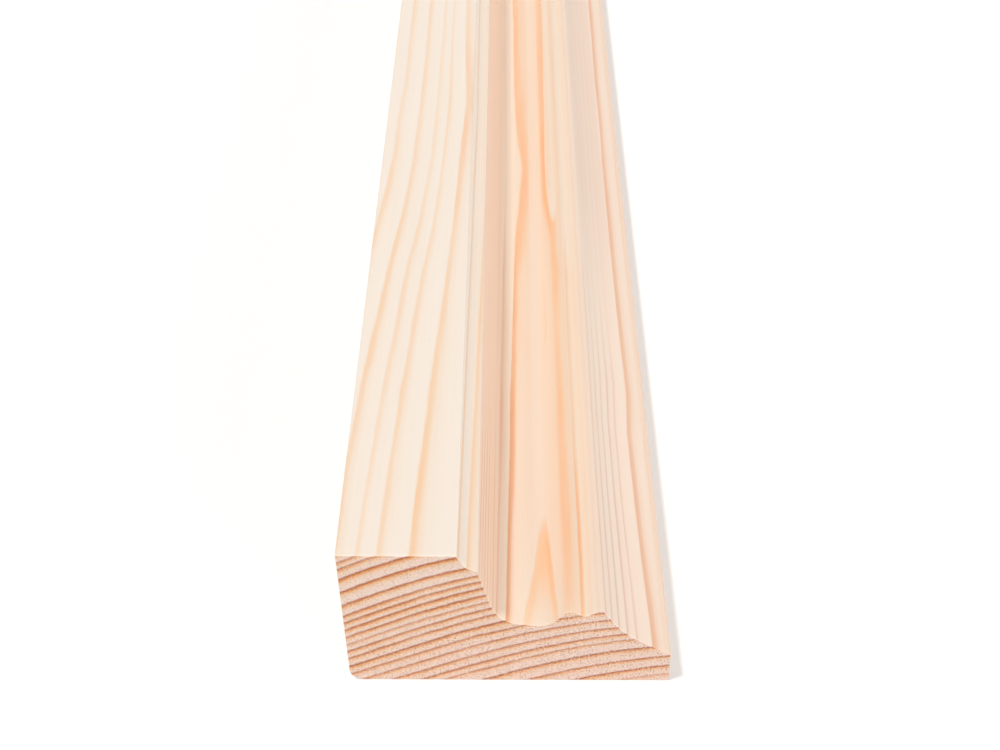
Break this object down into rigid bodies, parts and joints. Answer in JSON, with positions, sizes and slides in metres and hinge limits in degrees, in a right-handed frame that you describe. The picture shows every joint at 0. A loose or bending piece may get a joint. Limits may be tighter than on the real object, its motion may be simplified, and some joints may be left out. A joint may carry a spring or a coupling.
{
  "type": "dado rail",
  "caption": "Length of planed softwood dado rail: a thick flat nose, a stepped flute with a small bead and a hollow bevel down to a thin toe, on a flat back.",
  "frame": {"origin": "middle of the flat back, halfway along the length", "axes": "+Z out from the back, the way the face looks when the rail is on a wall; +Y along the length; +X across the section from the thick nose to the thin toe"},
  "size_m": [0.0446, 2.4, 0.027],
  "materials": {
    "pine": "planed bare softwood, matte"
  },
  "bodies": {
    "root": {"dado_rail": "pine"}
  },
  "joints": []
}
